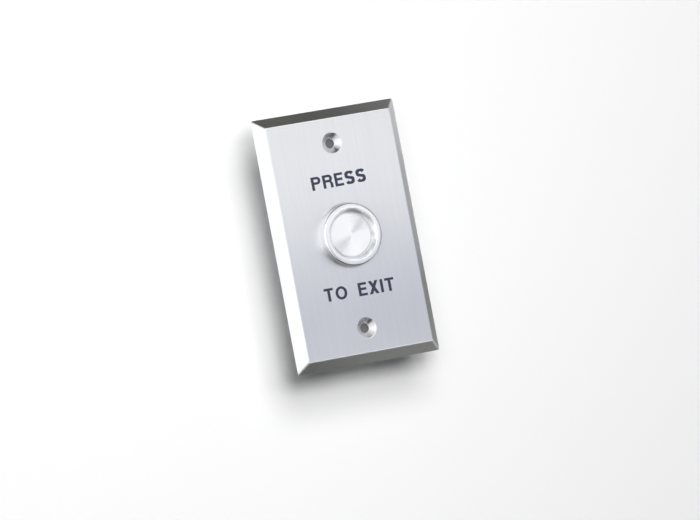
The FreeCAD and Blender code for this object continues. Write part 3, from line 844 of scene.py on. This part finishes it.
def even(tone):
    """The stops of a card that is one tone all over."""
    return [(0, tone), (1, tone)]


def for_reflections_only(sheet):
    """Hide a card from all but the metal."""
    sheet.visible_camera = False
    sheet.visible_diffuse = False
    sheet.visible_shadow = False
    sheet.visible_transmission = False


backdrop_y = cad_high.y + 2.5 * mm
backdrop_half = 0.6
plane(
    "backdrop",
    [(x * backdrop_half, backdrop_y, z * backdrop_half)
     for x, z in ((-1, -1), (1, -1), (1, 1), (-1, 1))],
    make_paper("backdrop_paper", 0.95, 0.035, 0.035, shows_in_metal=False))
# Dark sheets just behind the screw holes: painted shade seen through them.
screw_hole_shade_paper = make_paper("screw_hole_shade_paper", 0.06, 0.09, 0.09)
shade_y = 0.6 * mm
shade_half_width = 5 * mm
shade_half_height = 4 * mm
for end in (-1, 1):
    shade = plane(
        "screw_hole_shade_%d" % (end > 0),
        [(x * shade_half_width, shade_y, end * screw_hole_height + z * shade_half_height)
         for x, z in ((-1, -1), (1, -1), (1, 1), (-1, 1))],
        screw_hole_shade_paper)
    shade.visible_glossy = False
floor_z = -0.3
floor_half = 2
floor = plane(
    "floor",
    [(x * floor_half, y * floor_half, floor_z)
     for x, y in ((-1, -1), (1, -1), (1, 1), (-1, 1))],
    make_paper("floor_paper", 0.6, 0.3, 1.0))
floor.visible_diffuse = False

flag_height = 0.16
for_reflections_only(plane(
    "upper_flag",
    [(-0.3, -0.05, flag_height), (0.4, -0.05, flag_height), (0.4, 0.03, flag_height),
     (-0.3, 0.03, flag_height)],
    make_card("upper_flag_card", even((0.05, 0.05, 0.035)))))
for_reflections_only(plane(
    "lower_flag",
    [(-0.4, -0.03, -flag_height), (0.17, -0.03, -flag_height), (0.17, 0.03, -flag_height),
     (-0.4, 0.03, -flag_height)],
    make_card(
        "lower_flag_card", [(0, (0.02, 0.022, 0.018)), (1, (0.25, 0.25, 0.23))],
        -0.005, 0.035, "X")))
for_reflections_only(plane(
    "lower_front_flag",
    [(-0.1, -0.1, -flag_height), (0.3, -0.1, -flag_height), (0.3, -0.04, -flag_height),
     (-0.1, -0.04, -flag_height)],
    make_card("lower_front_card", even((0.02, 0.02, 0.02)))))
for_reflections_only(plane(
    "side_card",
    [(0.045, 0.03, -0.068), (0.32, -0.1, -0.068), (0.32, -0.1, 0.14), (0.045, 0.03, 0.14)],
    make_card(
        "side_card_grey",
        [(0, (0.28, 0.28, 0.27)), (0.30, (0.22, 0.22, 0.21)), (0.40, (0.18, 0.18, 0.155)),
         (0.48, (0.37, 0.37, 0.37)), (0.62, (0.47, 0.47, 0.47)), (0.7, (0.67, 0.67, 0.68)),
         (1, (0.78, 0.78, 0.79))],
        -0.12, 0.12)))
for_reflections_only(plane(
    "left_strip",
    [(-0.42, 0.0, -0.09), (-0.42, 0.0, 0.3), (-0.1, -0.5, 0.3), (-0.1, -0.5, -0.09)],
    make_card("left_strip_white", even((1.6, 1.6, 1.6)))))


def way_to(azimuth, elevation):
    """The way from the button to a place round it, by its angles in degrees."""
    turn, tilt = math.radians(azimuth), math.radians(elevation)
    level = math.cos(tilt)
    return Vector((math.sin(turn) * level, -math.cos(turn) * level, math.sin(tilt)))


def facing_card(name, azimuth, elevation, distance, half_width, half_height, stops):
    """A card square to the line from the button to its place, graded from its foot to its head."""
    away = way_to(azimuth, elevation)
    across = way_to(azimuth + 90, 0)
    rise = away.cross(across)
    middle = away * distance
    corners = [
        middle + across * a * half_width + rise * b * half_height
        for a, b in ((-1, -1), (1, -1), (1, 1), (-1, 1))]
    low, high = corners[0].z, corners[2].z
    for_reflections_only(plane(name, corners, make_card(name + "_glow", stops, low, high)))


facing_card(
    "front_card", 26, 0, 0.22, 0.16, 0.06,
    [(0, (0.80, 0.81, 0.87)), (0.2, (0.69, 0.705, 0.785)), (0.366, (0.72, 0.74, 0.815)),
     (0.583, (1.0, 1.01, 1.05)), (0.833, (1.15, 1.155, 1.165)), (1, (1.2, 1.2, 1.21))])
facing_card("head_card", 26, 7, 1.0, 0.9, 0.09, even((1.25, 1.25, 1.26)))
facing_card("foot_card", 26, -7, 1.0, 0.9, 0.09, even((0.95, 0.95, 1.0)))
facing_card("top_strip", 29, 34, 0.8, 0.2, 0.09, even((2.6, 2.6, 2.6)))
facing_card("head_side_strip", 0, 27, 0.8, 0.16, 0.09, even((1.6, 1.6, 1.6)))
facing_card("side_foot_strip", 46, -24, 0.8, 0.2, 0.09, even((2.2, 2.2, 2.2)))
facing_card("foot_strip", 36, -36, 0.8, 0.2, 0.09, even((2.2, 2.2, 2.2)))


def wedge_flag(name, turn, tone):
    """A card in a wedge round the mirror direction, which shades one sector of the spun cap."""
    mirror_way = Vector((0.41, -0.912, 0))
    across = Vector((0.912, 0.41, 0))
    distance = 0.7
    half_sector = 16
    inner_spread = 15
    outer_spread = 50
    corners = []
    for spread, side in (
            (inner_spread, -1), (outer_spread, -1), (outer_spread, 1), (inner_spread, 1)):
        open_by, at = math.radians(spread), math.radians(turn + half_sector * side)
        outward = across * math.cos(at) + Vector((0, 0, 1)) * math.sin(at)
        corners.append(
            (mirror_way * math.cos(open_by) + outward * math.sin(open_by)) * distance)
    for_reflections_only(plane(name, corners, make_card(name + "_grey", even(tone))))


wedge_flag("high_wedge", 34, (0.36, 0.37, 0.41))
wedge_flag("low_wedge", 213, (0.33, 0.33, 0.34))


def lamp(name, azimuth, elevation, distance, width, height, level):
    """Soft flat lamp at a place round the part, giving a matt white face that level of light."""
    data = bpy.data.lights.new(name, "AREA")
    data.shape = "RECTANGLE"
    data.size = width
    data.size_y = height
    data.energy = level * math.pi ** 2 * distance ** 2
    lit = bpy.data.objects.new(name, data)
    bpy.context.scene.collection.objects.link(lit)
    way = way_to(azimuth, elevation)
    lit.location = way * distance
    lit.rotation_mode = "QUATERNION"
    lit.rotation_quaternion = way.to_track_quat("Z", "Y")
    lit.visible_camera = False
    lit.visible_glossy = False


lamp("key_lamp", -14, 6.5, 1.2, 0.3, 0.3, 0.42)
lamp("high_lamp", -8, 27, 1.2, 0.6, 0.44, 0.44)
lamp("left_lamp", -28.2, 6.5, 1.2, 0.3, 0.3, 0.15)
lamp("right_lamp", 4, 8, 1.2, 0.42, 0.3, 0.15)
lamp("rear_lamp", 205, 35, 1.2, 0.9, 0.9, 0.7)
lamp("rear_side_lamp", 135, 10, 1.2, 0.9, 0.9, 0.3)

world = bpy.data.worlds.new("studio_white")
bpy.context.scene.world = world
world.use_nodes = True
sky = world.node_tree
unseen_level = 0.03
_, seen = rays_that_see(sky)
level = put(sky, "ShaderNodeMapRange", {"Value": seen, "To Min": unseen_level, "To Max": 1.0})
sky.links.new(level.outputs[0], sky.nodes["Background"].inputs["Strength"])
sky.nodes["Background"].inputs["Color"].default_value = (1, 1, 1, 1)

# Camera
# At the photo's viewpoint: level with the part and to its left, with a long lens, and rolled so
# that the plate leans to the left in the picture.
camera_data = bpy.data.cameras.new("camera")
camera = bpy.data.objects.new("camera", camera_data)
bpy.context.scene.collection.objects.link(camera)
camera_azimuth = -24.2
camera_elevation = -1.5
camera_roll = math.radians(-10.7)
camera_distance = 2.8
camera_target = Vector((0.0001, 0, -0.01079))
camera_data.sensor_width = 36.0
camera_data.lens = 324.5
camera_data.clip_end = 10.0
back = way_to(camera_azimuth, camera_elevation)
right = way_to(camera_azimuth + 90, 0)
up = back.cross(right)
turned_right = right * math.cos(camera_roll) + up * math.sin(camera_roll)
turned_up = up * math.cos(camera_roll) - right * math.sin(camera_roll)
camera.matrix_world = Matrix.Translation(camera_target + back * camera_distance) @ Matrix(
    (turned_right, turned_up, back)).transposed().to_4x4()
bpy.context.scene.camera = camera
bpy.context.scene.view_settings.view_transform = "Standard"
